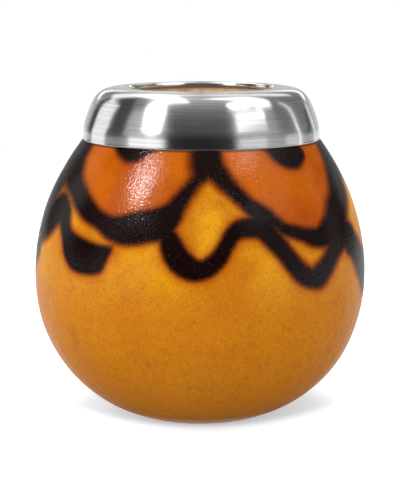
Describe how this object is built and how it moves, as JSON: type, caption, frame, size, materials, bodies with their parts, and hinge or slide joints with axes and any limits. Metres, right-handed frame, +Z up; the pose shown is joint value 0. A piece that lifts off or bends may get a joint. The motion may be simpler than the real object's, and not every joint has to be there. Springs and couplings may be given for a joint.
{
  "type": "gourd cup",
  "caption": "Round dried-gourd drinking cup with a burnt festoon pattern and a domed polished steel rim bonded over its mouth.",
  "frame": {"origin": "centre of the flat on the underside, on the surface that the gourd stands on", "axes": "+Z up along the gourd's axis of revolution, out of its mouth; -Y faces the picture's camera, +X is to the picture's right"},
  "size_m": [0.1, 0.1, 0.0998],
  "materials": {
    "gourd": "dried calabash skin, stained and burnt, under a thin gloss lacquer",
    "steel": "polished, with faint turning lines",
    "adhesive": "set paste"
  },
  "bodies": {
    "root": {"gourd_shell": "gourd", "ferrule": "steel", "skirt_adhesive": "adhesive", "lip_adhesive": "adhesive"}
  },
  "joints": []
}
